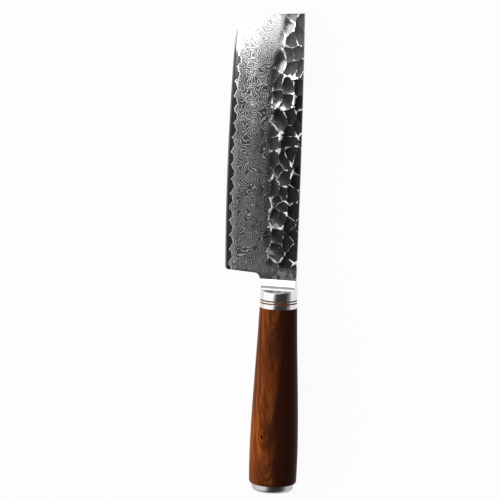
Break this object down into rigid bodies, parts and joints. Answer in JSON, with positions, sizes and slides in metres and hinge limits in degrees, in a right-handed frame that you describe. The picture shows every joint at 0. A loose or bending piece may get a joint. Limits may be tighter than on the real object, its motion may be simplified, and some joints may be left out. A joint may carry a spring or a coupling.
{
  "type": "nakiri knife",
  "caption": "Nakiri vegetable knife with a blunt-tipped, hammered damascus blade, a forged steel bolster, ringed collar and a turned wooden grip with a slightly domed steel butt cap.",
  "frame": {"origin": "on the handle's axis where the blade meets the bolster, midway through the blade's thickness", "axes": "+X to the tip, +Y to the cutting edge, +Z out of the blade's left face"},
  "size_m": [0.31, 0.0526, 0.0312],
  "materials": {
    "core_steel": "satin, dark from etching",
    "damascus_steel": "etched pattern, hammered along the spine",
    "polished_steel": "polished",
    "brown_fibre": "matte fibre",
    "grip_wood": "oiled, smooth",
    "rod_steel": "as machined",
    "epoxy": "set resin"
  },
  "bodies": {
    "root": {"blade_core": "core_steel", "cladding_left": "damascus_steel", "cladding_right": "damascus_steel", "bolster": "polished_steel", "spacer_front": "brown_fibre", "middle_ring": "polished_steel", "spacer_rear": "brown_fibre", "collar": "polished_steel", "grip": "grip_wood", "tie_rod": "rod_steel", "tang_epoxy": "epoxy", "butt_cap": "polished_steel"}
  },
  "joints": []
}
